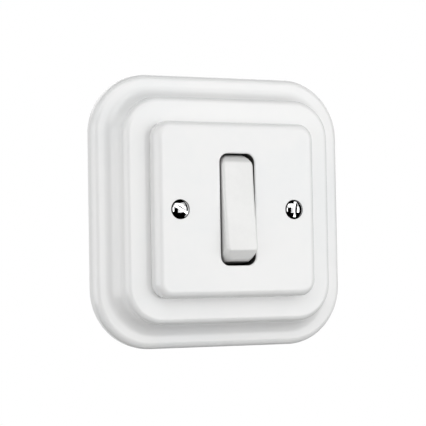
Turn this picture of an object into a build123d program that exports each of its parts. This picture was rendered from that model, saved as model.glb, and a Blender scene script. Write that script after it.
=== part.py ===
from build123d import *
import os
from math import cos, radians, sin, sqrt

os.makedirs("parts", exist_ok=True)

# Ceramic two-way switch for a flush box, at its real size in millimetres.
# Every piece is modelled lying on its back: X to the right, Y up the wall, Z out of the wall.
# Z = 0 is the wall face. At the end each piece is stood up, so that its front faces -Y.

# Porcelain surround
frame_size = 100.0
frame_corner = 22.0
frame_shelf = 8.0  # height of the lower shelf over the wall
frame_edge_round = 5.0
step_size = 82.0
step_corner = 14.0
step_top = 14.2
step_edge_round = 2.2
cove_round = 2.6  # between the shelf and the step
frame_wall = 5.0
foot_width = 4.0  # unglazed foot that stands on the wall
foot_relief = 3.0
foot_round = 0.5
frame_opening = 58.0
frame_opening_corner = 6.0

# Porcelain cover plate
cover_size = 63.4
cover_corner = 6.0
cover_top = 20.7
cover_thick = 4.0
cover_edge_round = 2.7
cover_heel_round = 0.5
lip_depth = 1.5  # locating lip inside the surround's opening
lip_width = 2.4
lip_gap = 0.3
slot_width = 13.85
slot_length = 40.5
slot_corner = 3.3
slot_round = 0.6

# Cover screws, raised countersunk
screw_reach = 22.7  # from the middle to each cover screw
head_radius = 3.5
head_dome = 1.5
head_rim = 0.25
shank_radius = 1.7
cover_screw_length = 16.0
driver_slot = 1.1
driver_depth = 0.9
left_slot_turn = -30.0
right_slot_turn = 86.0
screw_gap = 0.1

# Steel support ring
ring_size = 71.0
ring_corner = 10.0
ring_thick = 1.2
ring_window_width = 15.0
ring_window_length = 30.0
box_spacing = 60.0
box_slot_width = 3.6
box_slot_length = 7.0

# Brass pillars
pillar_radius = 3.0
pillar_gap = 0.3  # under the cover, so that the screws clamp the porcelain
pillar_tail_radius = 1.8

# Bearing frame
housing_width = 24.0
housing_length = 46.0
housing_corner = 2.0
housing_gap = 0.3  # under the cover
pocket_width = 15.0
pocket_length = 42.0
pocket_corner = 1.5
floor_thick = 2.0
floor_window_width = 11.0
floor_window_length = 30.0
boss_radius = 2.1
side_play = 0.2  # between the rocker and each bearing boss

# Rocker and its pin
pivot_height = 12.2
pin_radius = 1.2
pin_clearance = 0.05
pin_end_gap = 0.5
rocker_width = 12.5
rocker_length = 39.0  # between the flat ends behind the cover
end_reach = 20.5  # the ends are rounded about the pin, so that their gap stays even
rim_round = 3.3
dish_length = 32.0
dish_radius = 220.0
dish_proud = 2.4  # how far the dish's ends stand in front of the cover
rocker_wall = 1.8
rocker_skirt = 2.5  # how far the skirt reaches behind the pin
rocker_edge_round = 1.2
half_throw = 6.2
hub_width = 8.0
hub_length = 7.2
hub_reach = 8.6
rib_offset = 10.0
rib_thick = 1.2
stop_length = 4.5
stop_gap = 0.2

# Plunger and its spring
bore_start = 2.2  # from the pin's centre to the closed end of the bore
plunger_radius = 2.0
plunger_clearance = 0.05
plunger_shoulder = 5.6
plunger_reach = 13.6  # from the pin's centre to the middle of the rounded tip
tip_radius = 1.2
spigot_radius = 1.1
spigot_length = 1.0
spring_radius = 1.6
spring_wire = 0.2  # radius of the wire
spring_turns = 4
spring_end_gap = 0.05

# See-saw contact blade
blade_tilt = 8.5  # each way; each arm of the V leans by as much
blade_gap = 0.35  # from the plunger's tip to the blade at rest
blade_thick = 0.8
blade_width = 5.0
blade_arm = 12.8
contact_reach = 10.5
moving_contact_radius = 1.8
moving_contact_thick = 0.8
contact_gap = 0.05
fixed_contact_radius = 2.0
fixed_contact_thick = 1.0
edge_gap = 0.1  # from the knife edge to the blade

# Terminals
strip_width = 4.4
strip_thick = 1.0
edge_base = 2.4
ear_thick = 1.0
ear_length = 3.2
ear_gap = 0.3
ear_overlap = 1.5  # how far the ears reach past the blade's front face
terminal_reach = 15.2  # from the middle to each wire hole
terminal_width = 8.0
terminal_depth = 9.0
wire_radius = 1.6
wire_depth = 7.5
clamp_offset = 4.0  # from the terminal's rear face to the clamping screw
clamp_radius = 1.5
clamp_length = 2.3
clamp_head_radius = 2.9
clamp_head = 1.8
clamp_slot = 0.8

# Ceramic contact block
block_size = 44.0
block_corner = 9.0
block_depth = 19.0
block_round = 0.8
cavity_width = 9.4
cavity_length = 30.0
strip_play = 0.2
notch_play = 0.2
wire_mouth_radius = 2.4
wire_funnel = 0.8

# Screws that hold block, ring and housing together
assembly_x = 9.75
assembly_y = 18.0
assembly_radius = 1.25
assembly_head_radius = 2.3
assembly_head = 1.8
assembly_sink = 2.2
assembly_grip = 8.0  # how far they reach in front of the wall face
assembly_play = 0.15
assembly_slot = 0.7

# Heights that follow from the sizes above
cover_inside = cover_top - cover_thick
housing_top = cover_inside - housing_gap
floor_top = ring_thick + floor_thick
tip_height = pivot_height - plunger_reach * cos(radians(half_throw))
blade_front = tip_height - tip_radius - blade_gap
blade_pivot = blade_front - blade_thick
fixed_contact_top = blade_pivot - moving_contact_thick - contact_gap
strip_top = fixed_contact_top - fixed_contact_thick
cavity_floor = strip_top - strip_thick
terminal_back = strip_top - terminal_depth
terminal_face = terminal_reach + terminal_width / 2
dish_end = cover_top - pivot_height + dish_proud
dish_depth = dish_radius - sqrt(dish_radius**2 - (dish_length / 2) ** 2)

stand_up = Plane(origin=(0, 0, 0), x_dir=(1, 0, 0), z_dir=(0, -1, 0)).location
pieces = {}


def keep(name, shape):
    """Stands a piece up on the wall and keeps it under its name."""
    pieces[name] = stand_up * shape


def slab(width, length, corner, low, high):
    """A plate with rounded corners between two heights."""
    return Pos(0, 0, low) * extrude(RectangleRounded(width, length, corner), high - low)


def block(width, length, low, high):
    """A plain block, centred, between two heights."""
    return Pos(0, 0, low) * extrude(Rectangle(width, length), high - low)


def disc(radius, low, high):
    """A round bar along Z between two heights."""
    return Pos(0, 0, low) * extrude(Circle(radius), high - low)


def side_bar(radius, left, right):
    """A round bar along X between two places."""
    return Pos(left, 0, 0) * Rot(0, 90, 0) * extrude(Circle(radius), right - left)


def top_edges(shape):
    """The edges of the highest face."""
    return shape.faces().sort_by(Axis.Z)[-1].edges()


def bottom_edges(shape):
    """The edges of the lowest face."""
    return shape.faces().sort_by(Axis.Z)[0].edges()


def at_pivot(shape, angle):
    """Moves a shape from the pin's own frame to its place, turned about the pin."""
    return Pos(0, 0, pivot_height) * Rot(angle, 0, 0) * shape


def at_knife_edge(shape, angle):
    """Moves a shape from the knife edge's own frame to its place, turned about that edge."""
    return Pos(0, 0, blade_pivot) * Rot(angle, 0, 0) * shape


def make_surround():
    """Porcelain surround: a rounded flange, a coved step and a hollow back with a foot."""
    flange = slab(frame_size, frame_size, frame_corner, 0, frame_shelf)
    flange = fillet(top_edges(flange), frame_edge_round)
    flange = fillet(bottom_edges(flange), foot_round)
    step = slab(step_size, step_size, step_corner, foot_relief, step_top)
    step = fillet(top_edges(step), step_edge_round)
    body = flange + step
    body = fillet(new_edges(flange, step, combined=body), cove_round)
    inner = step_size - 2 * frame_wall
    foot = frame_size - 2 * foot_width
    body -= slab(inner, inner, step_corner - frame_wall + 1, 0, step_top - frame_wall)
    body -= slab(foot, foot, frame_corner - foot_width, 0, foot_relief)
    body -= slab(frame_opening, frame_opening, frame_opening_corner, 0, step_top)
    return body


def screw_seat():
    """Countersunk hole for a cover screw, from the cover's face inwards."""
    sink = head_radius - shank_radius
    hole = disc(shank_radius + screw_gap, cover_inside - 1, cover_top + 1)
    mouth = disc(head_radius + screw_gap, cover_top - head_rim, cover_top + 1)
    cone = Cone(shank_radius + screw_gap, head_radius + screw_gap, sink)
    return hole + mouth + Pos(0, 0, cover_top - head_rim - sink / 2) * cone


def make_cover():
    """Square porcelain cover with the rocker's slot, two screw seats and a locating lip."""
    body = slab(cover_size, cover_size, cover_corner, step_top, cover_top)
    body = fillet(top_edges(body), cover_edge_round)
    body = fillet(bottom_edges(body), cover_heel_round)
    lip_out = frame_opening - 2 * lip_gap
    lip_in = lip_out - 2 * lip_width
    lip_corner = frame_opening_corner - lip_gap
    body += slab(lip_out, lip_out, lip_corner, step_top - lip_depth, cover_inside)
    body -= slab(lip_in, lip_in, lip_corner - lip_width, step_top - lip_depth, cover_inside)
    opening = slab(slot_width, slot_length, slot_corner, cover_inside, cover_top)
    body -= opening
    slot_edges = [
        edge
        for edge in top_edges(body)
        if abs(edge.center().X) < slot_width and abs(edge.center().Y) < slot_length * 0.6
    ]
    body = fillet(slot_edges, slot_round)
    for side in (-1, 1):
        body -= Pos(side * screw_reach, 0, 0) * screw_seat()
    return body


def make_cover_screw(turn):
    """Slotted screw with a raised countersunk head, at the middle of the cover."""
    sink = head_radius - shank_radius
    ball = (head_radius**2 + head_dome**2) / (2 * head_dome)
    base = cover_top - head_rim
    outline = Polyline(
        (0, cover_top + head_dome),
        (0, cover_top - cover_screw_length),
        (shank_radius - 0.5, cover_top - cover_screw_length),
        (shank_radius, cover_top - cover_screw_length + 0.5),
        (shank_radius, base - sink),
        (head_radius, base),
        (head_radius, cover_top),
    )
    rise = ball - head_dome
    half = head_radius / 2
    dome = ThreePointArc(
        (head_radius, cover_top),
        (half, cover_top + sqrt(ball**2 - half**2) - rise),
        (0, cover_top + head_dome),
    )
    body = revolve(Plane.XZ * make_face([outline, dome]), Axis.Z)
    cut = block(3 * head_radius, driver_slot, cover_top + head_dome - driver_depth, cover_top + 5)
    return body - Rot(0, 0, turn) * cut


def make_ring():
    """Steel plate with a middle window, four slots for box screws and holes for what it carries."""
    body = slab(ring_size, ring_size, ring_corner, 0, ring_thick)
    body -= slab(ring_window_width, ring_window_length, pocket_corner, 0, ring_thick)
    box_slot = extrude(SlotOverall(box_slot_length, box_slot_width), ring_thick)
    for angle in (0, 90, 180, 270):
        body -= Rot(0, 0, angle) * Pos(box_spacing / 2, 0, 0) * box_slot
    for side in (-1, 1):
        body -= Pos(side * screw_reach, 0, 0) * disc(pillar_tail_radius, 0, ring_thick)
    for x, y in assembly_places():
        body -= Pos(x, y, 0) * disc(assembly_radius + assembly_play, 0, ring_thick)
    return body


def make_pillar():
    """Threaded brass pillar, its tail riveted through the ring."""
    top = cover_inside - pillar_gap
    body = disc(pillar_radius, ring_thick, top)
    body = chamfer(top_edges(body), 0.3)
    body += disc(pillar_tail_radius, 0, ring_thick)
    bottom = cover_top - cover_screw_length - 1
    return body - disc(shank_radius + screw_gap, bottom, top)


def assembly_places():
    """The four places of the assembly screws."""
    return [(x, y) for y in (assembly_y, -assembly_y) for x in (-assembly_x, assembly_x)]


def make_housing():
    """Moulded bearing frame: open pocket for the rocker, pin bosses, end stops and a window."""
    body = slab(housing_width, housing_length, housing_corner, ring_thick, housing_top)
    body -= slab(pocket_width, pocket_length, pocket_corner, floor_top, housing_top)
    body -= slab(
        floor_window_width, floor_window_length, pocket_corner, ring_thick, floor_top
    )
    boss_inner = rocker_width / 2 + side_play
    for side in (-1, 1):
        boss = side_bar(boss_radius, boss_inner, pocket_width / 2 + 1)
        body += Pos(0, 0, pivot_height) * (boss if side > 0 else boss.mirror(Plane.YZ))
    angle = radians(half_throw)
    half = rocker_length / 2
    skirt_low = pivot_height - rocker_skirt * cos(angle) - half * sin(angle)
    stop_top = skirt_low - stop_gap
    stop = block(pocket_width, stop_length, floor_top, stop_top)
    for side in (-1, 1):
        body += Pos(0, side * (pocket_length - stop_length) / 2, 0) * stop
    bore = side_bar(pin_radius + pin_clearance, -housing_width, housing_width)
    body -= Pos(0, 0, pivot_height) * bore
    hole = disc(assembly_radius + screw_gap, ring_thick, assembly_grip + 1)
    for x, y in assembly_places():
        body -= Pos(x, y, 0) * hole
    return body


def rocker_outline(inset):
    """Side view of the rocker about its pin, drawn inset by a wall."""
    half = rocker_length / 2 - inset
    pull = inset * (sqrt(2) - 1)
    front = (dish_length / 2 - pull, dish_end - inset)
    shoulder = (half, front[1] - (half - front[0]))
    low = (half, -rocker_skirt)
    middle = (0, dish_end - inset - dish_depth)
    left = [(-y, z) for y, z in (low, shoulder, front)]
    lines = Polyline(front, shoulder, low, *left)
    return Plane.YZ * make_face([lines, ThreePointArc(left[2], middle, front)])


def rocker_wheel(inset):
    """A wheel about the pin with rounded rims: the rocker's ends are part of it."""
    wide = rocker_width - 2 * inset
    wheel = side_bar(end_reach - inset, -wide / 2, wide / 2)
    return fillet(wheel.edges().filter_by(GeomType.CIRCLE), rim_round - inset)


def make_rocker():
    """Rocker: dished front, bevelled ends, thin walls, ribs, and a hub for pin and plunger."""
    form = extrude(rocker_outline(0), rocker_width / 2, both=True) & rocker_wheel(0)
    shoulder = dish_end - (rocker_length - dish_length) / 2
    form = fillet(form.edges().filter_by(lambda edge: edge.center().Z > shoulder), rocker_edge_round)
    hollow = extrude(rocker_outline(rocker_wall), rocker_width / 2, both=True)
    body = form - (hollow & rocker_wheel(rocker_wall))
    roof = dish_end - dish_depth - rocker_wall / 2
    body += block(hub_width, hub_length, -rocker_skirt, roof)
    body += disc(hub_length / 2, -hub_reach, -rocker_skirt)
    for side in (-1, 1):
        rib = block(rocker_width - rocker_wall, rib_thick, rocker_skirt, roof)
        body += Pos(0, side * rib_offset, 0) * rib
    cheek = (rocker_width - rocker_wall) / 2
    body += side_bar(hub_length / 2, -cheek, cheek)
    body -= side_bar(pin_radius + pin_clearance, -rocker_width, rocker_width)
    body -= disc(plunger_radius + plunger_clearance, -hub_reach - 1, -bore_start)
    return body


def make_pin():
    """Plain steel pin with chamfered ends."""
    half = housing_width / 2 - pin_end_gap
    body = side_bar(pin_radius, -half, half)
    return chamfer(body.edges().filter_by(GeomType.CIRCLE), 0.25)


def make_plunger():
    """Plunger about the pin's centre: a spigot for the spring, a shank and a rounded tip."""
    neck = sqrt(plunger_radius**2 - tip_radius**2)
    outline = Polyline(
        (0, -plunger_reach - tip_radius),
        (0, -plunger_shoulder + spigot_length),
        (spigot_radius, -plunger_shoulder + spigot_length),
        (spigot_radius, -plunger_shoulder),
        (plunger_radius, -plunger_shoulder),
        (plunger_radius, -plunger_reach + neck),
        (tip_radius, -plunger_reach),
    )
    slant = tip_radius / sqrt(2)
    tip = ThreePointArc(
        (tip_radius, -plunger_reach),
        (slant, -plunger_reach - slant),
        (0, -plunger_reach - tip_radius),
    )
    return revolve(Plane.XZ * make_face([outline, tip]), Axis.Z)


def make_spring():
    """Helical spring between the bore's closed end and the plunger's shoulder."""
    top = -bore_start - spring_end_gap - spring_wire
    height = plunger_shoulder - bore_start - 2 * (spring_end_gap + spring_wire)
    coil = Helix(height / spring_turns, height, spring_radius)
    section = Plane(origin=coil @ 0, z_dir=coil % 0) * Circle(spring_wire)
    return Pos(0, 0, top - height) * sweep(section, coil)


def arm_point(along, over):
    """A point on the blade's right arm: a way along it from the middle, and over its rear face."""
    lean = radians(blade_tilt)
    return (along * cos(lean) - over * sin(lean), along * sin(lean) + over * cos(lean))


def make_blade():
    """Shallow V of brass strip, its rear corner on the knife edge."""
    peak = (0, blade_thick / cos(radians(blade_tilt)))
    rear, front = arm_point(blade_arm, 0), arm_point(blade_arm, blade_thick)
    left = [(-y, z) for y, z in (front, rear)]
    outline = Polyline((0, 0), rear, front, peak, *left, close=True)
    return extrude(Plane.YZ * make_face(outline), blade_width / 2, both=True)


def make_moving_contact(side):
    """Silver button behind one arm of the blade."""
    button = disc(moving_contact_radius, -moving_contact_thick, 0)
    return Rot(side * blade_tilt, 0, 0) * Pos(0, side * contact_reach, 0) * button


def make_fixed_contact(side):
    """Silver button on a terminal's strip."""
    button = disc(fixed_contact_radius, strip_top, fixed_contact_top)
    return Pos(0, side * contact_reach, 0) * button


def make_clamp():
    """Brass terminal block with a wire hole from the rear and a clamping screw's hole."""
    body = Pos(terminal_reach, 0, 0) * block(
        terminal_width, terminal_width, terminal_back, strip_top
    )
    wire = disc(wire_radius, terminal_back, terminal_back + wire_depth)
    screw = side_bar(clamp_radius + screw_gap, terminal_reach, terminal_face)
    body -= Pos(terminal_reach, 0, 0) * wire
    return body - Pos(0, 0, terminal_back + clamp_offset) * screw


def make_way_terminal(side):
    """Terminal of one way: its strip runs under the fixed contact."""
    left = -strip_width / 2
    right = terminal_reach - terminal_width / 2
    strip = block(right - left, strip_width, cavity_floor, strip_top)
    strip = Pos((left + right) / 2, 0, 0) * strip
    joint = Pos(right + 1, 0, 0) * block(2, strip_width, cavity_floor, strip_top)
    return Pos(0, side * contact_reach, 0) * (make_clamp() + strip + joint)


def make_common_terminal():
    """Common terminal: its strip carries the knife edge and two ears beside the blade."""
    ear_place = blade_width / 2 + ear_gap + ear_thick / 2
    right = ear_place + ear_thick / 2
    left = -terminal_reach + terminal_width / 2 - 1
    strip = Pos((left + right) / 2, 0, 0) * block(
        right - left, strip_width, cavity_floor, strip_top
    )
    body = make_clamp().mirror(Plane.YZ) + strip
    apex = blade_pivot - edge_gap
    wedge = Polyline(
        (-edge_base / 2, strip_top), (edge_base / 2, strip_top), (0, apex), close=True
    )
    body += extrude(Plane.YZ * make_face(wedge), blade_width / 2, both=True)
    ear = block(ear_thick, ear_length, strip_top, blade_front + ear_overlap)
    for side in (-1, 1):
        body += Pos(side * ear_place, 0, 0) * ear
    return body


def make_clamp_screw():
    """Cheese-head clamping screw on the right, backed off so that a wire can enter."""
    body = side_bar(clamp_radius, terminal_face - clamp_length, terminal_face)
    head = side_bar(clamp_head_radius, terminal_face, terminal_face + clamp_head)
    head = chamfer(head.edges().filter_by(GeomType.CIRCLE).sort_by(Axis.X)[-1:], 0.3)
    cut = Pos(terminal_face + clamp_head, 0, 0) * Box(clamp_head, clamp_slot, 3 * clamp_head_radius)
    return Pos(0, 0, terminal_back + clamp_offset) * (body + head - cut)


def make_block():
    """Ceramic contact block: cavity for the blade, channels, notches and wire mouths."""
    body = slab(block_size, block_size, block_corner, -block_depth, 0)
    body = fillet(bottom_edges(body), block_round)
    body -= block(cavity_width, cavity_length, cavity_floor, 0)
    inner = terminal_reach - terminal_width / 2 - notch_play
    outer = block_size / 2 + 1
    places = [(1, contact_reach), (1, -contact_reach), (-1, 0)]
    channel = block(inner, strip_width + 2 * strip_play, cavity_floor, 0)
    notch = block(outer - inner, terminal_width + 2 * notch_play, terminal_back, 0)
    mouth = disc(wire_mouth_radius, -block_depth, terminal_back)
    sink = wire_mouth_radius + wire_funnel
    funnel = Pos(0, 0, -block_depth + wire_funnel / 2) * Cone(
        sink, wire_mouth_radius, wire_funnel
    )
    for side, y in places:
        body -= Pos(side * (inner + 1) / 2, y, 0) * channel
        body -= Pos(side * (inner + outer) / 2, y, 0) * notch
        body -= Pos(side * terminal_reach, y, 0) * (mouth + funnel)
    hole = disc(assembly_radius + assembly_play, -block_depth, 0)
    hole += disc(assembly_head_radius + assembly_play, -block_depth, -block_depth + assembly_sink)
    for x, y in assembly_places():
        body -= Pos(x, y, 0) * hole
    return body


def make_assembly_screw():
    """Long cheese-head screw from the block's rear into the housing."""
    under_head = -block_depth + assembly_sink
    body = disc(assembly_radius, under_head, assembly_grip)
    body += disc(assembly_head_radius, under_head - assembly_head, under_head)
    slot_top = under_head - assembly_head / 2
    return body - block(3 * assembly_head_radius, assembly_slot, slot_top - assembly_head, slot_top)


keep("surround_frame", make_surround())
keep("cover_plate", make_cover())
for side, name, turn in ((-1, "left", left_slot_turn), (1, "right", right_slot_turn)):
    keep(f"cover_screw_{name}", Pos(side * screw_reach, 0, 0) * make_cover_screw(turn))
    keep(f"pillar_{name}", Pos(side * screw_reach, 0, 0) * make_pillar())
keep("support_ring", make_ring())
keep("bearing_frame", make_housing())
keep("pivot_pin", Pos(0, 0, pivot_height) * make_pin())
keep("contact_block", make_block())
for number, (x, y) in enumerate(assembly_places(), 1):
    keep(f"assembly_screw_{number}", Pos(x, y, 0) * make_assembly_screw())

keep("terminal_common", make_common_terminal())
keep("terminal_screw_common", make_clamp_screw().mirror(Plane.YZ))
for side, name in ((1, "upper"), (-1, "lower")):
    keep(f"terminal_{name}", make_way_terminal(side))
    keep(f"terminal_screw_{name}", Pos(0, side * contact_reach, 0) * make_clamp_screw())
    keep(f"fixed_contact_{name}", make_fixed_contact(side))
    keep(f"moving_contact_{name}", at_knife_edge(make_moving_contact(side), blade_tilt))
keep("contact_blade", at_knife_edge(make_blade(), blade_tilt))

# At rest the rocker's upper end is pressed in
keep("rocker", at_pivot(make_rocker(), -half_throw))
keep("plunger", at_pivot(make_plunger(), -half_throw))
keep("plunger_spring", at_pivot(make_spring(), -half_throw))

for name, shape in pieces.items():
    export_step(shape, f"parts/{name}.step")
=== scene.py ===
"""Looks of a ceramic two-way switch: glazed porcelain, a moulded rocker, plated screws and bare contacts.

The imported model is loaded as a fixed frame. Each sub-assembly is a class that dresses its own nodes, and
puts a finer piece in the place of a node whose plain solid lacks its form. All lengths are in metres, in
the frame's own axes: X to the right, Y into the wall and Z up the wall.
"""

from __future__ import annotations

import logging
import math
from dataclasses import dataclass, field
from enum import Enum
from functools import cache, cached_property
from typing import Any, Protocol

import bmesh
import bpy
from mathutils import Matrix, Vector

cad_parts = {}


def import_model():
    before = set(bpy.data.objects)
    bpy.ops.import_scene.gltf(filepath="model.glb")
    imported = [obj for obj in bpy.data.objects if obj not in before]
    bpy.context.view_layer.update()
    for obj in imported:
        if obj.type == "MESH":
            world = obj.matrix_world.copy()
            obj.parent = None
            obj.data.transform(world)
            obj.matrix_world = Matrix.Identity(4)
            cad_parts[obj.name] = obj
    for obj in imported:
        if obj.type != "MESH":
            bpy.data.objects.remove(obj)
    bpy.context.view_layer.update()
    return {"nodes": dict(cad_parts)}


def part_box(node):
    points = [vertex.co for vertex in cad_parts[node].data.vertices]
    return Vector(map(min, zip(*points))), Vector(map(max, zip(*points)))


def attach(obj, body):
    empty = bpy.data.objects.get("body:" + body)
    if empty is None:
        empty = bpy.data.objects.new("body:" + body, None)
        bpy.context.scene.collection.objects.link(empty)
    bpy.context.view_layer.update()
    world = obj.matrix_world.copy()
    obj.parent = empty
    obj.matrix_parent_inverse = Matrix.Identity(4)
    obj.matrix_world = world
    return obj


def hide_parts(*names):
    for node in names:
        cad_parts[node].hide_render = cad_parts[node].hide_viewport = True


LOG = logging.getLogger("switch")
MM = 0.001

SWITCH_BODY = "switch"
SIDES = ("left", "right")
WAYS = ("upper", "lower")
ASSEMBLY_SCREWS = range(1, 5)

QUARTER_TURN = math.pi / 2
FULL_TURN = 2 * math.pi
SMOOTH_ANGLE = math.radians(30)
RING_MERGE = 0.001 * MM
CAD_MERGE = 0.0001 * MM
SHANK_TOLERANCE = 0.02 * MM
HELIX_POINTS_PER_TURN = 24
RIDGE_SIDES = 4
THINNEST_RIDGE = 0.05
THREAD_DEPTH_SHARE = 0.6

NOISE_RANGE = (0.3, 0.7)
FINER_CLOUD = 7.0
SMALLEST_SPECK = 0.4
SHEET_CORNERS = ((-1, -1), (1, -1), (1, 1), (-1, 1))

Socket = bpy.types.NodeSocket
Material = bpy.types.Material
Colour = tuple[float, float, float]
Span = tuple[float, float]


class Slot(Enum):
    """The record's material slots."""

    GLAZE = "glazed_porcelain"
    ROCKER = "rocker_white"
    CHROME = "chrome_plate"
    ZINC = "zinc_steel"
    PIN = "pin_steel"
    BRASS = "brass"
    SILVER = "silver"
    HOUSING = "housing_black"
    BISQUE = "bare_ceramic"
    NYLON = "plunger_white"
    SPRING = "spring_steel"


class Along(Enum):
    """The axis that drawn, rolled or turned marks run along or about."""

    X = 0
    Y = 1
    Z = 2


@dataclass
class Graph:
    """A node tree with short calls for the nodes that the finishes and the shapes use."""

    tree: bpy.types.NodeTree

    def add(self, kind: str, inputs: dict[str | int, Any] | None = None, **settings: Any) -> bpy.types.Node:
        """Adds a node.

        Args:
            kind: The node's type name.
            inputs: Values or sockets for its inputs, by name or number.
            settings: Attributes of the node itself.

        Returns:
            The new node.
        """
        node = self.tree.nodes.new(kind)
        for name, value in settings.items():
            setattr(node, name, value)
        for key, value in (inputs or {}).items():
            self.put(node.inputs[key], value)
        return node

    def put(self, socket: Socket, value: Any) -> None:
        """Links a socket or sets its value.

        Args:
            socket: The input that takes the value.
            value: A socket to link from, or a plain value.
        """
        if isinstance(value, bpy.types.NodeSocket):
            self.tree.links.new(value, socket)
        else:
            socket.default_value = value

    def math(self, operation: str, a: Any, b: Any = 0.0, clamp: bool = False) -> Socket:
        """Adds one Math node.

        Args:
            operation: The node's operation.
            a: The first value or socket.
            b: The second value or socket.
            clamp: Whether the result stays between 0 and 1.

        Returns:
            The node's output.
        """
        node = self.add("ShaderNodeMath", {0: a, 1: b}, operation=operation, use_clamp=clamp)
        return node.outputs[0]

    def times(self, first: Any, *others: Any) -> Socket:
        """Multiplies values.

        Args:
            first: The first value or socket.
            others: One or more further values or sockets.

        Returns:
            Their product.
        """
        product = first
        for other in others:
            product = self.math("MULTIPLY", product, other)
        return product

    def share_out(self, number: Any, size: Any) -> tuple[Socket, Socket]:
        """Divides a whole number into lots.

        Args:
            number: The whole number.
            size: How many make a lot.

        Returns:
            The number of full lots, and what is left over.
        """
        lots = self.math("FLOOR", self.math("DIVIDE", self.math("ADD", number, 0.5), size))
        return lots, self.math("SUBTRACT", number, self.times(lots, size))

    def ramp(self, value: Any, low: float, high: float, start: float = 0.0, end: float = 1.0) -> Socket:
        """Maps a value smoothly from one range to another.

        Args:
            value: The value or socket.
            low: Where the input range starts.
            high: Where the input range ends.
            start: The output at the low end.
            end: The output at the high end.

        Returns:
            The mapped value.
        """
        inputs = {"Value": value, "From Min": low, "From Max": high, "To Min": start, "To Max": end}
        node = self.add("ShaderNodeMapRange", inputs, interpolation_type="SMOOTHSTEP")
        return node.outputs["Result"]

    def varied(self, pattern: Socket, value: float, spread: Span) -> Socket:
        """Varies a value with a pattern.

        Args:
            pattern: A noise about 0.5.
            value: The value to vary.
            spread: The least and the most of it, as shares.

        Returns:
            The varied value.
        """
        return self.ramp(pattern, *NOISE_RANGE, value * spread[0], value * spread[1])

    def between(self, factor: Any, a: Any, b: Any) -> Socket:
        """Mixes two values.

        Args:
            factor: How much of the second value.
            a: The first value or socket.
            b: The second value or socket.

        Returns:
            The mixed value.
        """
        node = self.add("ShaderNodeMix", {"Factor": factor, 2: a, 3: b}, data_type="FLOAT")
        return node.outputs[0]

    def blend(self, factor: Any, a: Socket | Colour, b: Socket | Colour) -> Socket:
        """Mixes two colours.

        Args:
            factor: How much of the second colour.
            a: The first colour or socket.
            b: The second colour or socket.

        Returns:
            The mixed colour.
        """
        inputs = {"Factor": factor, 6: full(a), 7: full(b)}
        return self.add("ShaderNodeMix", inputs, data_type="RGBA").outputs[2]


def full(colour: Socket | Colour) -> Any:
    """Returns a colour with full alpha, or the socket that was given."""
    return (*colour, 1.0) if isinstance(colour, tuple) else colour


def effect_group(name: str, sizes: dict[str, float], output: str) -> tuple[Graph, Any, Any]:
    """Starts a shader node group with a vector input, inputs for its sizes and one output.

    Args:
        name: The group's name.
        sizes: The other inputs with their usual values.
        output: The output's name.

    Returns:
        The group's graph, what it is given and what it puts out.
    """
    tree = bpy.data.node_groups.new(name, "ShaderNodeTree")
    tree.interface.new_socket(name="Vector", in_out="INPUT", socket_type="NodeSocketVector")
    for label, usual in sizes.items():
        socket = tree.interface.new_socket(name=label, in_out="INPUT", socket_type="NodeSocketFloat")
        socket.default_value = usual
    tree.interface.new_socket(name=output, in_out="OUTPUT", socket_type="NodeSocketFloat")
    graph = Graph(tree)
    return graph, graph.add("NodeGroupInput").outputs, graph.add("NodeGroupOutput").inputs


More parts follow.
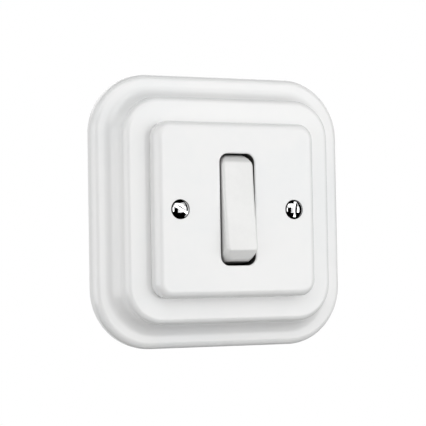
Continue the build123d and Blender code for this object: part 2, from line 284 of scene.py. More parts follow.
class EffectShelf:
    """The shader node groups that several finishes share, each built when it is first asked for."""

    @cached_property
    def cloud(self) -> bpy.types.NodeTree:
        """Soft uneven tone: a slow cloud with a finer one on it.

        Returns:
            The group, which puts out a value about 0.5.
        """
        graph, given, result = effect_group("cloud", {"Size": 20 * MM, "Fine": 0.3}, "Value")
        scale = graph.math("DIVIDE", 1.0, given["Size"])
        slow = graph.add("ShaderNodeTexNoise", {"Vector": given["Vector"], "Scale": scale, "Detail": 2.0})
        quick = graph.add("ShaderNodeTexNoise", {"Vector": given["Vector"], "Detail": 3.0})
        graph.put(quick.inputs["Scale"], graph.times(scale, FINER_CLOUD))
        mixed = graph.between(given["Fine"], slow.outputs["Fac"], quick.outputs["Fac"])
        graph.put(result["Value"], mixed)
        return graph.tree

    @cached_property
    def specks(self) -> bpy.types.NodeTree:
        """Sparse round specks, such as pinholes in a glaze or iron spots in a clay.

        Returns:
            The group, which puts out a mask.
        """
        sizes = {"Spacing": 3 * MM, "Radius": 0.1, "Share": 0.2}
        graph, given, result = effect_group("specks", sizes, "Mask")
        scale = graph.math("DIVIDE", 1.0, given["Spacing"])
        cells = graph.add("ShaderNodeTexVoronoi", {"Vector": given["Vector"], "Scale": scale})
        draws = graph.add("ShaderNodeSeparateColor", {0: cells.outputs["Color"]}).outputs
        chosen = graph.math("LESS_THAN", draws[0], given["Share"])
        radius = graph.times(given["Radius"], graph.math("ADD", SMALLEST_SPECK, draws[1]))
        reach = graph.math("DIVIDE", cells.outputs["Distance"], radius)
        near = graph.math("SUBTRACT", 1.0, reach, clamp=True)
        graph.put(result["Mask"], graph.times(near, chosen))
        return graph.tree

    @cached_property
    def drawn(self) -> bpy.types.NodeTree:
        """Long fine marks along X, as rolling, drawing or grinding leaves them.

        Returns:
            The group, which puts out a height.
        """
        graph, given, result = effect_group("drawn", {"Width": 0.2 * MM, "Stretch": 40.0}, "Height")
        across = graph.math("DIVIDE", 1.0, given["Width"])
        along = graph.math("DIVIDE", across, given["Stretch"])
        scale = graph.add("ShaderNodeCombineXYZ", {0: along, 1: across, 2: across}).outputs[0]
        place = graph.add("ShaderNodeVectorMath", {0: given["Vector"], 1: scale}, operation="MULTIPLY")
        noise = graph.add("ShaderNodeTexNoise", {"Vector": place.outputs[0], "Scale": 1.0, "Detail": 3.0})
        graph.put(result["Height"], noise.outputs["Fac"])
        return graph.tree

    @cached_property
    def turned(self) -> bpy.types.NodeTree:
        """Rings about Z, as a lathe tool leaves them.

        Returns:
            The group, which puts out a height.
        """
        graph, given, result = effect_group("turned", {"Pitch": 0.1 * MM, "Uneven": 2.0}, "Height")
        x, y, z = graph.add("ShaderNodeSeparateXYZ", {0: given["Vector"]}).outputs
        flat = graph.add("ShaderNodeCombineXYZ", {0: x, 1: y}).outputs[0]
        radius = graph.add("ShaderNodeVectorMath", {0: flat}, operation="LENGTH").outputs["Value"]
        turns = graph.math("DIVIDE", radius, given["Pitch"])
        drift = graph.math("DIVIDE", z, given["Pitch"])
        place = graph.add("ShaderNodeCombineXYZ", {0: turns, 1: drift}).outputs[0]
        noise = graph.add("ShaderNodeTexNoise", {"Vector": place, "Scale": 1.0, "Detail": given["Uneven"]})
        graph.put(result["Height"], noise.outputs["Fac"])
        return graph.tree


EFFECTS = EffectShelf()


@dataclass
class Coat:
    """A material under work: its graph, its shader and the place vector that the patterns read."""

    name: str
    material: Material = field(init=False)
    graph: Graph = field(init=False)
    shader: bpy.types.Node = field(init=False)
    place: Socket = field(init=False)

    def __post_init__(self) -> None:
        """Makes the empty material with its shader."""
        self.material = bpy.data.materials.new(self.name)
        self.material.use_nodes = True
        self.graph = Graph(self.material.node_tree)
        self.shader = self.material.node_tree.nodes["Principled BSDF"]
        self.place = self.graph.add("ShaderNodeTexCoord").outputs["Object"]

    def depth(self) -> Socket:
        """Returns the place along Y, into the wall."""
        return self.graph.add("ShaderNodeSeparateXYZ", {0: self.place}).outputs["Y"]

    def swapped(self, made_for: Along, wanted: Along, centre: Vector | None = None) -> Socket:
        """Swaps two axes of the place vector, so that marks made for one axis follow another.

        Args:
            made_for: The axis that the marks are made for.
            wanted: The axis that they are to follow.
            centre: A point on that axis, or the origin.

        Returns:
            The vector for the marks.
        """
        start = centre or Vector((0, 0, 0))
        order = [axis.value for axis in Along]
        order[made_for.value], order[wanted.value] = wanted.value, made_for.value
        parts = self.graph.add("ShaderNodeSeparateXYZ", {0: self.place}).outputs
        moved = {number: self.graph.math("SUBTRACT", parts[i], start[i]) for number, i in enumerate(order)}
        return self.graph.add("ShaderNodeCombineXYZ", moved).outputs[0]

    def use(self, effect: bpy.types.NodeTree, output: str, **inputs: Any) -> Socket:
        """Places a shared effect.

        Args:
            effect: The effect's node group.
            output: The name of the output to read.
            inputs: Values for its inputs; the vector is the place vector unless given.

        Returns:
            The output's socket.
        """
        node = self.graph.add("ShaderNodeGroup", node_tree=effect)
        for key, value in {"vector": self.place, **inputs}.items():
            self.graph.put(node.inputs[key.capitalize()], value)
        return node.outputs[output]

    def bumps(self, *layers: Relief) -> None:
        """Stacks layers of bumps and feeds them to the shader.

        Args:
            layers: The layers, the lowest first.
        """
        normal = None
        for layer in layers:
            inputs = {"Height": layer.height, "Strength": layer.strength, "Distance": layer.depth}
            node = self.graph.add("ShaderNodeBump", inputs)
            if normal is not None:
                self.graph.put(node.inputs["Normal"], normal)
            normal = node.outputs["Normal"]
        self.graph.put(self.shader.inputs["Normal"], normal)

    def set(self, **values: Any) -> None:
        """Sets the shader's inputs.

        Args:
            values: Input names with underscores for spaces, and their values or sockets.
        """
        for key, value in values.items():
            self.graph.put(self.shader.inputs[key.replace("_", " ")], value)


@dataclass(frozen=True)
class Relief:
    """One layer of bumps: its pattern, its strength and its depth, below zero where the pattern sinks in."""

    height: Socket
    strength: float
    depth: float


@dataclass(frozen=True)
class Cloud:
    """A soft uneven pattern: the size of its slow clouds and the share of its finer ones."""

    size: float
    fine: float

    def on(self, coat: Coat) -> Socket:
        """Returns the pattern's value, which varies about 0.5."""
        return coat.use(EFFECTS.cloud, "Value", size=self.size, fine=self.fine)


@dataclass(frozen=True)
class Specks:
    """Sparse round specks: the width of their cells, their radius in cells and the share of cells used."""

    spacing: float
    radius: float
    share: float

    def on(self, coat: Coat) -> Socket:
        """Returns the mask of the specks."""
        return coat.use(EFFECTS.specks, "Mask", spacing=self.spacing, radius=self.radius, share=self.share)


class Finish(Protocol):
    """What every finish has: its slot in the record and a method that builds it."""

    @property
    def slot(self) -> Slot:
        """Returns the record's slot."""

    def build(self) -> Material:
        """Returns the finish as a material."""


@dataclass(frozen=True)
class Glaze:
    """Clear glossy glaze on white porcelain, which leaves the foot ring bare."""

    name: str = "porcelain_glaze"
    slot: Slot = Slot.GLAZE
    white: Colour = (0.885, 0.885, 0.88)
    pooled: Colour = (0.85, 0.86, 0.862)
    clay: Colour = (0.80, 0.77, 0.71)
    iron: Colour = (0.30, 0.24, 0.18)
    gloss: float = 0.09
    gloss_spread: Span = (0.85, 1.2)
    bare_roughness: float = 0.7
    refraction: float = 1.5
    tone: Cloud = Cloud(size=30 * MM, fine=0.25)
    ripple: Cloud = Cloud(size=7 * MM, fine=0.15)
    pinholes: Specks = Specks(spacing=6 * MM, radius=0.022, share=0.12)
    grain: Specks = Specks(spacing=1.1 * MM, radius=0.2, share=0.3)
    pooling: Span = (0.35, 0.75)
    pinhole_stain: float = 0.35
    grain_stain: float = 0.4
    foot_facing: Span = (0.1, 0.4)
    glaze_line: Span = (-1.6 * MM, -0.9 * MM)
    line_waver: float = 0.6 * MM

    def on_foot(self, coat: Coat, tone: Socket) -> Socket:
        """Marks the foot ring, where the glaze was wiped off along a wavering line.

        Args:
            coat: The material under work.
            tone: The pattern that the line wavers with.

        Returns:
            A mask, one on the bare clay.
        """
        graph = coat.graph
        facing = graph.add("ShaderNodeTexCoord").outputs["Normal"]
        rearward = graph.add("ShaderNodeSeparateXYZ", {0: facing}).outputs["Y"]
        waver = graph.times(graph.math("SUBTRACT", tone, 0.5), self.line_waver)
        line = graph.math("ADD", coat.depth(), waver)
        return graph.times(graph.ramp(rearward, *self.foot_facing), graph.ramp(line, *self.glaze_line))

    def with_painted_shade(self, coat: Coat, unshaded: Socket) -> Socket:
        """Returns the colour unchanged, as this glaze has no painted shade."""
        return unshaded

    def build(self) -> Material:
        """Builds the glaze.

        Returns:
            The material.
        """
        coat = Coat(self.name)
        graph = coat.graph
        tone = self.tone.on(coat)
        pinholes = self.pinholes.on(coat)
        grain = self.grain.on(coat)
        foot = self.on_foot(coat, tone)
        glazed = graph.blend(graph.ramp(tone, *self.pooling), self.white, self.pooled)
        glazed = graph.blend(graph.times(pinholes, self.pinhole_stain), glazed, self.iron)
        bare = graph.blend(graph.times(grain, self.grain_stain), self.clay, self.iron)
        coat.set(Base_Color=self.with_painted_shade(coat, graph.blend(foot, glazed, bare)))
        gloss = graph.varied(tone, self.gloss, self.gloss_spread)
        coat.set(Roughness=graph.between(foot, gloss, self.bare_roughness), IOR=self.refraction)
        coat.bumps(
            Relief(self.ripple.on(coat), strength=0.25, depth=0.12 * MM),
            Relief(pinholes, strength=0.4, depth=-0.04 * MM),
            Relief(graph.times(grain, foot), strength=0.6, depth=0.05 * MM),
        )
        return coat.material


@dataclass(frozen=True)
class CoverGlaze(Glaze):
    """The glaze of the cover, with painted shade on the walls of the rocker's slot."""

    name: str = "cover_glaze"
    # Colour of the painted shade that darkens the slot's walls.
    dust_and_painted_shade: Colour = (0.05, 0.048, 0.045)
    slot_half_width: float = 7.4 * MM
    slot_half_height: float = 20.8 * MM
    unshaded_rim: float = 0.25 * MM
    painted_shade_fade: float = 0.4 * MM

    def with_painted_shade(self, coat: Coat, unshaded: Socket) -> Socket:
        """Paints shade on the walls of the slot behind its rounded rim.

        Args:
            coat: The material under work.
            unshaded: The colour of the glaze without the painted shade.

        Returns:
            The colour with the painted shade on it.
        """
        graph = coat.graph
        x, depth, z = graph.add("ShaderNodeSeparateXYZ", {0: coat.place}).outputs
        wide = graph.math("LESS_THAN", graph.math("ABSOLUTE", x), self.slot_half_width)
        tall = graph.math("LESS_THAN", graph.math("ABSOLUTE", z), self.slot_half_height)
        start = cover_front() + self.unshaded_rim
        behind = graph.ramp(depth, start, start + self.painted_shade_fade)
        # Painted shade: the slot's walls are darkened in colour, standing in for the shadow in the narrow gap
        # round the rocker.
        return graph.blend(graph.times(wide, tall, behind), unshaded, self.dust_and_painted_shade)


@dataclass(frozen=True)
class Moulding:
    """Glossy moulded plastic of the rocker, or the duller ones of the housing and the plunger."""

    name: str
    slot: Slot
    colour: Colour
    darker: Colour
    roughness: float
    grain: Cloud
    grain_depth: float
    flow: Cloud = Cloud(size=9 * MM, fine=0.3)
    dust_and_painted_shade: Specks = Specks(spacing=1.4 * MM, radius=0.12, share=0.25)
    flow_shade: Span = (0.3, 0.75)
    dust_stain: float = 0.12
    roughness_spread: Span = (0.85, 1.2)
    refraction: float = 1.52

    def build(self) -> Material:
        """Builds the moulding.

        Returns:
            The material.
        """
        coat = Coat(self.name)
        graph = coat.graph
        flow = self.flow.on(coat)
        body = graph.blend(graph.ramp(flow, *self.flow_shade), self.colour, self.darker)
        dusty = graph.times(self.dust_and_painted_shade.on(coat), self.dust_stain)
        coat.set(Base_Color=graph.blend(dusty, body, self.darker))
        coat.set(Roughness=graph.varied(flow, self.roughness, self.roughness_spread), IOR=self.refraction)
        coat.bumps(
            Relief(flow, strength=0.15, depth=0.1 * MM),
            Relief(self.grain.on(coat), strength=0.3, depth=self.grain_depth),
        )
        return coat.material


@dataclass(frozen=True)
class DrawnMetal:
    """Metal with drawn, rolled or ground marks and a little tarnish."""

    name: str
    slot: Slot
    colour: Colour
    tarnish: Colour
    roughness: float
    along: Along = Along.X
    mark_width: float = 0.12 * MM
    mark_depth: float = 0.01 * MM
    tarnish_share: float = 0.5
    stain: Cloud = Cloud(size=6 * MM, fine=0.4)
    stained: Span = (0.42, 0.72)
    stain_roughness: float = 0.12
    roughness_spread: Span = (0.8, 1.25)

    def build(self) -> Material:
        """Builds the metal.

        Returns:
            The material.
        """
        coat = Coat(self.name)
        graph = coat.graph
        place = coat.swapped(Along.X, self.along)
        marks = coat.use(EFFECTS.drawn, "Height", vector=place, width=self.mark_width)
        stain = self.stain.on(coat)
        dulled = graph.times(graph.ramp(stain, *self.stained), self.tarnish_share)
        coat.set(Base_Color=graph.blend(dulled, self.colour, self.tarnish), Metallic=1.0)
        marked = graph.varied(marks, self.roughness, self.roughness_spread)
        coat.set(Roughness=graph.math("ADD", marked, graph.times(dulled, self.stain_roughness)))
        coat.bumps(
            Relief(marks, strength=0.5, depth=self.mark_depth),
            Relief(stain, strength=0.2, depth=2 * self.mark_depth),
        )
        return coat.material


@dataclass(frozen=True)
class TurnedMetal:
    """Plated or polished metal with rings about one axis through a centre."""

    name: str
    slot: Slot
    colour: Colour
    dull: Colour
    roughness: float
    about: Along
    centre: Vector
    pitch: float = 0.09 * MM
    ring_depth: float = 0.003 * MM
    handling: Cloud = Cloud(size=1.6 * MM, fine=0.4)
    worn: Span = (0.5, 0.75)
    wear_share: float = 0.5
    roughness_spread: Span = (0.8, 1.2)

    def with_painted_shade(self, coat: Coat, unshaded: Socket) -> Socket:
        """Returns the colour unchanged, as this metal has no painted shade."""
        return unshaded

    def build(self) -> Material:
        """Builds the metal.

        Returns:
            The material.
        """
        coat = Coat(self.name)
        graph = coat.graph
        place = coat.swapped(Along.Z, self.about, self.centre)
        rings = coat.use(EFFECTS.turned, "Height", vector=place, pitch=self.pitch)
        worn = graph.ramp(self.handling.on(coat), *self.worn)
        metal = graph.blend(graph.times(worn, self.wear_share), self.colour, self.dull)
        ringed = graph.varied(rings, self.roughness, self.roughness_spread)
        rough = graph.math("ADD", ringed, graph.times(worn, self.roughness))
        coat.set(Base_Color=self.with_painted_shade(coat, metal), Metallic=1.0, Roughness=rough)
        coat.bumps(Relief(rings, strength=0.4, depth=self.ring_depth))
        return coat.material


@dataclass(frozen=True)
class CoverScrewChrome(TurnedMetal):
    """Chrome of a cover screw, with painted shade where its dome meets its rim."""

    # Colour of the painted shade round the head's edge next to the cover.
    painted_rim_shade: Colour = (0.02, 0.02, 0.02)
    rim_shade_height: float = 0.42 * MM
    rim_shade_fade: float = 0.16 * MM

    def with_painted_shade(self, coat: Coat, unshaded: Socket) -> Socket:
        """Paints shade on the screw below a height over the cover, where its head meets the seat.

        Args:
            coat: The material under work.
            unshaded: The colour of the metal without the painted shade.

        Returns:
            The colour with the painted shade on it.
        """
        start = cover_front() - self.rim_shade_height
        shade_mask = coat.graph.ramp(coat.depth(), start, start + self.rim_shade_fade)
        # Painted shade: the head is darkened close to the cover, standing in for the shadow where it sits in
        # its seat.
        return coat.graph.blend(shade_mask, unshaded, self.painted_rim_shade)


@dataclass(frozen=True)
class Steatite:
    """Unglazed pressed ceramic: cream, finely grained, with iron specks."""

    slot: Slot = Slot.BISQUE
    cream: Colour = (0.80, 0.765, 0.69)
    pale: Colour = (0.86, 0.83, 0.77)
    iron: Colour = (0.26, 0.2, 0.15)
    roughness: Span = (0.62, 0.8)
    patches: Cloud = Cloud(size=8 * MM, fine=0.5)
    grain: Cloud = Cloud(size=0.7 * MM, fine=0.6)
    spots: Specks = Specks(spacing=2.2 * MM, radius=0.12, share=0.25)
    spot_stain: float = 0.7

    def build(self) -> Material:
        """Builds the ceramic.

        Returns:
            The material.
        """
        coat = Coat("steatite")
        graph = coat.graph
        patches = self.patches.on(coat)
        grain = self.grain.on(coat)
        spots = self.spots.on(coat)
        body = graph.blend(graph.ramp(patches, *NOISE_RANGE), self.cream, self.pale)
        coat.set(Base_Color=graph.blend(graph.times(spots, self.spot_stain), body, self.iron))
        coat.set(Roughness=graph.ramp(grain, *NOISE_RANGE, *self.roughness))
        coat.bumps(
            Relief(patches, strength=0.2, depth=0.1 * MM),
            Relief(grain, strength=0.5, depth=0.04 * MM),
            Relief(spots, strength=0.4, depth=-0.03 * MM),
        )
        return coat.material


@dataclass
class Finishes:
    """All finishes of the switch, by name."""

    made: dict[str, tuple[Slot, Material]] = field(default_factory=dict)

    def keep(self, name: str, finish: Finish) -> None:
        """Builds a finish and keeps it under the name that the sub-assemblies ask for."""
        self.made[name] = (finish.slot, finish.build())

    def dress(self, piece: bpy.types.Object, name: str) -> None:
        """Gives a piece one finish all over.

        Args:
            piece: The mesh object.
            name: The finish.
        """
        slot, material = self.made[name]
        piece.data.materials.clear()
        piece.data.materials.append(material)
        LOG.info("%s: %s", piece.name, material.name)


def box_middle(node: str) -> Vector:
    """Returns the middle of a node's box."""
    low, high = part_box(node)
    return (low + high) / 2


def cover_front() -> float:
    """Returns where the cover's front face lies along Y."""
    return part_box("cover_plate")[0].y


def moulded_and_fired() -> dict[str, Finish]:
    """Lists the finishes that are moulded or fired.

    Returns:
        The finishes by name.
    """
    return {
        "glaze": Glaze(),
        "cover_glaze": CoverGlaze(),
        "bisque": Steatite(),
        "rocker": Moulding(
            "rocker_moulding", Slot.ROCKER, colour=(0.86, 0.86, 0.85), darker=(0.82, 0.82, 0.81),
            roughness=0.22, grain=Cloud(size=0.9 * MM, fine=0.5), grain_depth=0.008 * MM,
        ),
        "housing": Moulding(
            "housing_moulding", Slot.HOUSING, colour=(0.022, 0.021, 0.02), darker=(0.035, 0.033, 0.031),
            roughness=0.42, grain=Cloud(size=0.7 * MM, fine=0.5), grain_depth=0.03 * MM,
        ),
        "nylon": Moulding(
            "plunger_moulding", Slot.NYLON, colour=(0.80, 0.78, 0.71), darker=(0.74, 0.71, 0.64),
            roughness=0.38, grain=Cloud(size=0.6 * MM, fine=0.5), grain_depth=0.01 * MM,
        ),
    }


def drawn_metals() -> dict[str, Finish]:
    """Lists the finishes of drawn, rolled and ground metal.

    Returns:
        The finishes by name.
    """
    return {
        "ring": DrawnMetal(
            "zinc_sheet", Slot.ZINC, colour=(0.66, 0.67, 0.68), tarnish=(0.56, 0.53, 0.44),
            roughness=0.32, mark_depth=0.006 * MM,
        ),
        "pin": DrawnMetal(
            "ground_pin", Slot.PIN, colour=(0.68, 0.68, 0.68), tarnish=(0.5, 0.5, 0.5),
            roughness=0.2, mark_width=0.06 * MM, mark_depth=0.003 * MM,
        ),
        "brass": DrawnMetal(
            "drawn_brass", Slot.BRASS, colour=(0.80, 0.60, 0.26), tarnish=(0.50, 0.34, 0.15),
            roughness=0.26,
        ),
        "blade": DrawnMetal(
            "rolled_brass", Slot.BRASS, colour=(0.82, 0.63, 0.29), tarnish=(0.56, 0.40, 0.19),
            roughness=0.22, along=Along.Z,
        ),
        "silver": DrawnMetal(
            "contact_silver", Slot.SILVER, colour=(0.88, 0.87, 0.84), tarnish=(0.5, 0.47, 0.42),
            roughness=0.18, tarnish_share=0.7,
        ),
        "spring": DrawnMetal(
            "spring_wire", Slot.SPRING, colour=(0.42, 0.42, 0.43), tarnish=(0.25, 0.24, 0.23),
            roughness=0.3,
        ),
    }


def turned_metals() -> dict[str, Finish]:
    """Lists the finishes of turned metal, each centred on its own screw or pillar.

    Returns:
        The finishes by the name of the node that wears them.
    """
    turned: dict[str, Finish] = {}
    for side in SIDES:
        turned[f"cover_screw_{side}"] = CoverScrewChrome(
            f"chrome_{side}", Slot.CHROME, colour=(0.80, 0.80, 0.81), dull=(0.62, 0.62, 0.64),
            roughness=0.05, about=Along.Y, centre=box_middle(f"cover_screw_{side}"),
        )
        turned[f"pillar_{side}"] = TurnedMetal(
            f"turned_brass_{side}", Slot.BRASS, colour=(0.80, 0.60, 0.26), dull=(0.55, 0.38, 0.17),
            roughness=0.2, about=Along.Y, centre=box_middle(f"pillar_{side}"), pitch=0.18 * MM,
        )
    screws = {f"assembly_screw_{number}": Along.Y for number in ASSEMBLY_SCREWS}
    screws |= {f"terminal_screw_{way}": Along.X for way in ("common", *WAYS)}
    for node, about in screws.items():
        turned[node] = TurnedMetal(
            f"zinc_{node}", Slot.ZINC, colour=(0.64, 0.65, 0.67), dull=(0.52, 0.5, 0.42),
            roughness=0.24, about=about, centre=box_middle(node), pitch=0.14 * MM,
        )
    return turned


def make_finishes() -> Finishes:
    """Builds every finish.

    Returns:
        The finishes by name.
    """
    finishes = Finishes()
    for name, finish in (moulded_and_fired() | drawn_metals() | turned_metals()).items():
        finishes.keep(name, finish)
    return finishes


def linked(name: str, data: Any) -> bpy.types.Object:
    """Puts a mesh, a light or a camera into the scene.

    Args:
        name: The object's name.
        data: What it holds.

    Returns:
        The object, at the origin.
    """
    holder = bpy.data.objects.new(name, data)
    bpy.context.scene.collection.objects.link(holder)
    return holder


@dataclass(frozen=True)
class Bend:
    """One corner of a section: half the ring's width, its height over the wall and its rounding."""

    half: float
    height: float
    round: float


def rounded_section(bends: list[Bend], steps: int) -> list[tuple[float, float]]:
    """Rounds every corner of a closed section.

    Args:
        bends: The section's corners in order.
        steps: How many pieces each rounding has.

    Returns:
        Points as half width and height.
    """
    points = []
    for before, bend, after in zip(bends[-1:] + bends[:-1], bends, bends[1:] + bends[:1]):
        here = Vector((bend.half, bend.height))
        to_before = (Vector((before.half, before.height)) - here).normalized()
        to_after = (Vector((after.half, after.height)) - here).normalized()
        half_angle = to_before.angle(to_after) / 2
        reach = bend.round / math.tan(half_angle)
        centre = here + (to_before + to_after).normalized() * (bend.round / math.sin(half_angle))
        start = here + to_before * reach - centre
        end = here + to_after * reach - centre
        turn = start.angle_signed(end)
        for step in range(steps + 1):
            arm = start.copy()
            arm.rotate(Matrix.Rotation(-turn * step / steps, 2))
            points.append(tuple(centre + arm))
    return points


def interpolate(value: float, places: list[tuple[float, float]]) -> float:
    """Reads a value off a line through places.

    Args:
        value: Where to read.
        places: Pairs of place and value, in rising order of place.

    Returns:
        The value there, level beyond either end.
    """
    if value <= places[0][0]:
        return places[0][1]
    for (low, first), (high, second) in zip(places, places[1:]):
        if value <= high:
            return first + (second - first) * (value - low) / (high - low)
    return places[-1][1]


def shape_tree(name: str, inputs: dict[str, str], output: str) -> tuple[Graph, Any, Any]:
    """Starts a geometry node tree with named sockets.

    Args:
        name: The tree's name.
        inputs: Its inputs with their kinds.
        output: The name of the shape that it puts out.

    Returns:
        The tree's graph, what it is given and what it puts out.
    """
    tree = bpy.data.node_groups.new(name, "GeometryNodeTree")
    for label, kind in inputs.items():
        tree.interface.new_socket(name=label, in_out="INPUT", socket_type=f"NodeSocket{kind}")
    tree.interface.new_socket(name=output, in_out="OUTPUT", socket_type="NodeSocketGeometry")
    graph = Graph(tree)
    return graph, graph.add("NodeGroupInput").outputs, graph.add("NodeGroupOutput").inputs


def dressed_shape(graph: Graph, shape: Socket, finish: Socket) -> Socket:
    """Ends a tree: makes its shape real and gives it the finish.

    Args:
        graph: The tree's graph.
        shape: The shape.
        finish: The finish.

    Returns:
        The shape as the tree puts it out.
    """
    real = graph.add("GeometryNodeRealizeInstances", {0: shape}).outputs[0]
    return graph.add("GeometryNodeSetMaterial", {"Geometry": real, "Material": finish}).outputs[0]


def quarter_path(
    graph: Graph, given: Any, half: Socket, corner: Socket, step: Socket
) -> tuple[Socket, Socket]:
    """Follows the first corner of a rounded square and then the straight side after it.

    Args:
        graph: The tree's graph.
        given: The tree's inputs.
        half: Half the square's width.
        corner: The radius of its corners.
        step: How many steps along the path.

    Returns:
        The place along X and along Z.
    """
    bent = graph.math("DIVIDE", step, given["Corner Steps"], clamp=True)
    past = graph.math("SUBTRACT", step, given["Corner Steps"])
    straight = graph.math("DIVIDE", past, given["Side Steps"], clamp=True)
    angle = graph.times(bent, QUARTER_TURN)
    centre = graph.math("SUBTRACT", half, corner)
    run = graph.math("SUBTRACT", 1.0, graph.times(straight, 2.0))
    across = graph.times(corner, graph.math("COSINE", angle))
    up = graph.times(corner, graph.math("SINE", angle))
    return graph.math("ADD", graph.times(centre, run), across), graph.math("ADD", centre, up)


def sweep_tree() -> bpy.types.NodeTree:
    """Builds the tree that sweeps a section round a rounded square.

    The section is a line of points whose X is half the width of the ring through the point, whose Y is its
    height over the wall and whose Z is the radius of the ring's corners. A grid has a row for each point of
    the section and a column for each step round the ring, and each of its points is moved to its place.

    Returns:
        The geometry node tree.
    """
    inputs = {"Section": "Geometry", "Corner Steps": "Int", "Side Steps": "Int", "Finish": "Material"}
    graph, given, result = shape_tree("rounded_square_sweep", inputs, "Ring")
    count = graph.add("GeometryNodeAttributeDomainSize", {0: given["Section"]}).outputs["Point Count"]
    per_side = graph.math("ADD", given["Corner Steps"], given["Side Steps"])
    rows = graph.math("ADD", count, 1.0)
    columns = graph.math("ADD", graph.times(per_side, 4.0), 1.0)
    grid = graph.add("GeometryNodeMeshGrid", {"Vertices X": rows, "Vertices Y": columns}).outputs["Mesh"]
    row, column = graph.share_out(graph.add("GeometryNodeInputIndex").outputs[0], columns)
    side, step = graph.share_out(column, per_side)
    sample = graph.add("GeometryNodeSampleIndex", {0: given["Section"]}, data_type="FLOAT_VECTOR")
    graph.put(sample.inputs["Value"], graph.add("GeometryNodeInputPosition").outputs[0])
    graph.put(sample.inputs["Index"], graph.math("MODULO", row, count))
    half, height, corner = graph.add("ShaderNodeSeparateXYZ", {0: sample.outputs["Value"]}).outputs
    x, z = quarter_path(graph, given, half, corner, step)
    flat = graph.add("ShaderNodeCombineXYZ", {0: x, 1: graph.times(height, -1.0), 2: z}).outputs[0]
    turned = graph.add("ShaderNodeVectorRotate", {"Vector": flat}, rotation_type="AXIS_ANGLE")
    graph.put(turned.inputs["Axis"], (0, -1, 0))
    graph.put(turned.inputs["Angle"], graph.times(side, QUARTER_TURN))
    moved = graph.add("GeometryNodeSetPosition", {"Geometry": grid, "Position": turned.outputs[0]}).outputs[0]
    merged = graph.add("GeometryNodeMergeByDistance", {"Geometry": moved, "Distance": RING_MERGE}).outputs[0]
    smooth = graph.add("GeometryNodeSetShadeSmooth", {0: merged}).outputs[0]
    graph.put(result["Ring"], dressed_shape(graph, smooth, given["Finish"]))
    return graph.tree


def helix_tree() -> bpy.types.NodeTree:
    """Builds the tree of a ridge wound about Z, for screw threads, which thins out over the Fade share.

    Returns:
        The geometry node tree.
    """
    sizes = dict.fromkeys(("Turns", "Radius", "Length", "Ridge", "Fade"), "Float")
    inputs = {"Seed": "Geometry", **sizes, "Sides": "Int", "Finish": "Material"}
    graph, given, result = shape_tree("helix", inputs, "Thread")
    line = graph.add("GeometryNodeCurvePrimitiveLine").outputs[0]
    count = graph.times(given["Turns"], HELIX_POINTS_PER_TURN)
    points = graph.add("GeometryNodeResampleCurve", {"Curve": line, "Count": count}).outputs[0]
    along = graph.add("GeometryNodeSplineParameter").outputs["Factor"]
    angle = graph.times(along, given["Turns"], FULL_TURN)
    x = graph.times(given["Radius"], graph.math("COSINE", angle))
    y = graph.times(given["Radius"], graph.math("SINE", angle))
    z = graph.times(given["Length"], along)
    spot = graph.add("ShaderNodeCombineXYZ", {0: x, 1: y, 2: z}).outputs[0]
    coil = graph.add("GeometryNodeSetPosition", {"Geometry": points, "Position": spot}).outputs[0]
    nearest_end = graph.math("MINIMUM", along, graph.math("SUBTRACT", 1.0, along))
    faded = graph.math("DIVIDE", nearest_end, given["Fade"], clamp=True)
    thick = graph.add("GeometryNodeSetCurveRadius", {"Curve": coil})
    graph.put(thick.inputs["Radius"], graph.math("MAXIMUM", faded, THINNEST_RIDGE))
    profile = graph.add("GeometryNodeCurvePrimitiveCircle", {"Resolution": given["Sides"]})
    graph.put(profile.inputs["Radius"], given["Ridge"])
    wound = graph.add("GeometryNodeCurveToMesh", {"Curve": thick.outputs[0], "Fill Caps": True})
    graph.put(wound.inputs["Profile Curve"], profile.outputs["Curve"])
    graph.put(result["Thread"], dressed_shape(graph, wound.outputs[0], given["Finish"]))
    return graph.tree


def grown(name: str, seed: bpy.types.Mesh, tree: bpy.types.NodeTree, **values: Any) -> bpy.types.Mesh:
    """Runs a geometry node tree on a mesh and keeps the result as a plain mesh.

    Args:
        name: The new mesh's name.
        seed: The mesh that the tree starts from.
        tree: The geometry node tree.
        values: Its inputs, with underscores for spaces.

    Returns:
        The finished mesh, its faces turned outwards.
    """
    holder = linked(name + "_seed", seed)
    modifier = holder.modifiers.new("grow", "NODES")
    modifier.node_group = tree
    sockets = {item.name: item.identifier for item in tree.interface.items_tree if item.in_out == "INPUT"}
    for key, value in values.items():
        modifier[sockets[key.replace("_", " ")]] = value
    evaluated = holder.evaluated_get(bpy.context.evaluated_depsgraph_get())
    mesh = bpy.data.meshes.new_from_object(evaluated)
    bpy.data.objects.remove(holder)
    mesh.name = name
    work = bmesh.new()
    work.from_mesh(mesh)
    bmesh.ops.recalc_face_normals(work, faces=work.faces)
    for face in work.faces:
        face.material_index = 0
    work.to_mesh(mesh)
    work.free()
    mesh.materials.clear()
    mesh.materials.append(values["Finish"])
    return mesh


